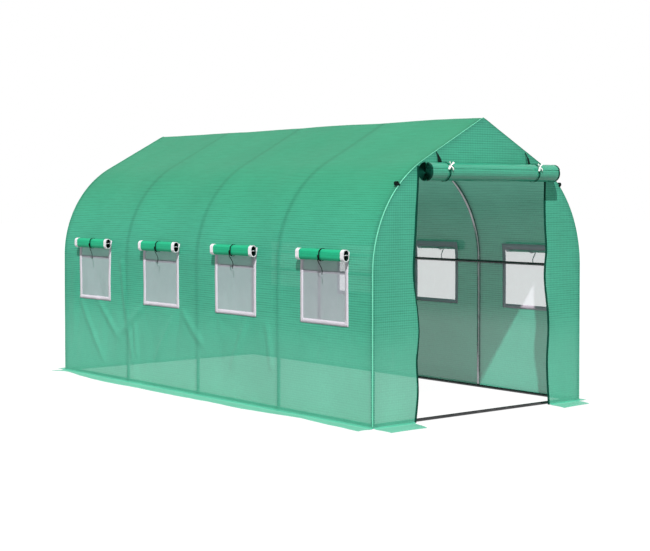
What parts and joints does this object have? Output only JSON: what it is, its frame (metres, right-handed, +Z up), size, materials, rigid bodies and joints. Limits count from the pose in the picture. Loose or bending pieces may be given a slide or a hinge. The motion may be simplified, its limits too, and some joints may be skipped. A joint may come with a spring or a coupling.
{
  "type": "polytunnel greenhouse",
  "caption": "Walk-in garden polytunnel: steel hoops and rails under a green reinforced fabric cover with a rolled-up door, rolled-up netted windows and ground flaps.",
  "frame": {"origin": "on the ground at the middle of the footprint", "axes": "+Z up, the tunnel runs along Y with its door at -Y, width along X"},
  "size_m": [2.28, 4.38, 2.0264],
  "materials": {
    "steel_tube": "bright galvanised tube",
    "cover_fabric": "translucent reinforced film with a fine square grid of threads",
    "rolled_fabric": "the cover's film rolled up tightly",
    "insect_net": "fine white insect net",
    "border_tape": "white sewn tape",
    "webbing": "dark woven webbing",
    "zip_tape": "dark green zip tape"
  },
  "bodies": {
    "root": {"hoop_front": "steel_tube", "hoop_second": "steel_tube", "hoop_middle": "steel_tube", "hoop_fourth": "steel_tube", "hoop_back": "steel_tube", "ridge_elbows": "steel_tube", "ridge_pole": "steel_tube", "left_mid_rail": "steel_tube", "right_mid_rail": "steel_tube", "left_base_rail": "steel_tube", "right_base_rail": "steel_tube", "front_base_rail": "steel_tube", "back_base_rail": "steel_tube", "left_wall": "cover_fabric", "right_wall": "cover_fabric", "left_shoulder": "cover_fabric", "right_shoulder": "cover_fabric", "left_roof": "cover_fabric", "right_roof": "cover_fabric", "front_gable": "cover_fabric", "front_panel_left": "cover_fabric", "front_panel_right": "cover_fabric", "back_panel": "cover_fabric", "left_skirt": "cover_fabric", "right_skirt": "cover_fabric", "front_skirt_left": "cover_fabric", "front_skirt_right": "cover_fabric", "back_skirt": "cover_fabric", "left_window_nets": "insect_net", "right_window_nets": "insect_net", "left_window_borders": "border_tape", "right_window_borders": "border_tape", "left_window_rolls": "rolled_fabric", "right_window_rolls": "rolled_fabric", "left_window_ties": "webbing", "right_window_ties": "webbing", "door_roll": "rolled_fabric", "door_straps": "webbing", "door_zip_left": "zip_tape", "door_zip_right": "zip_tape", "webbing_loops": "webbing"}
  },
  "joints": []
}
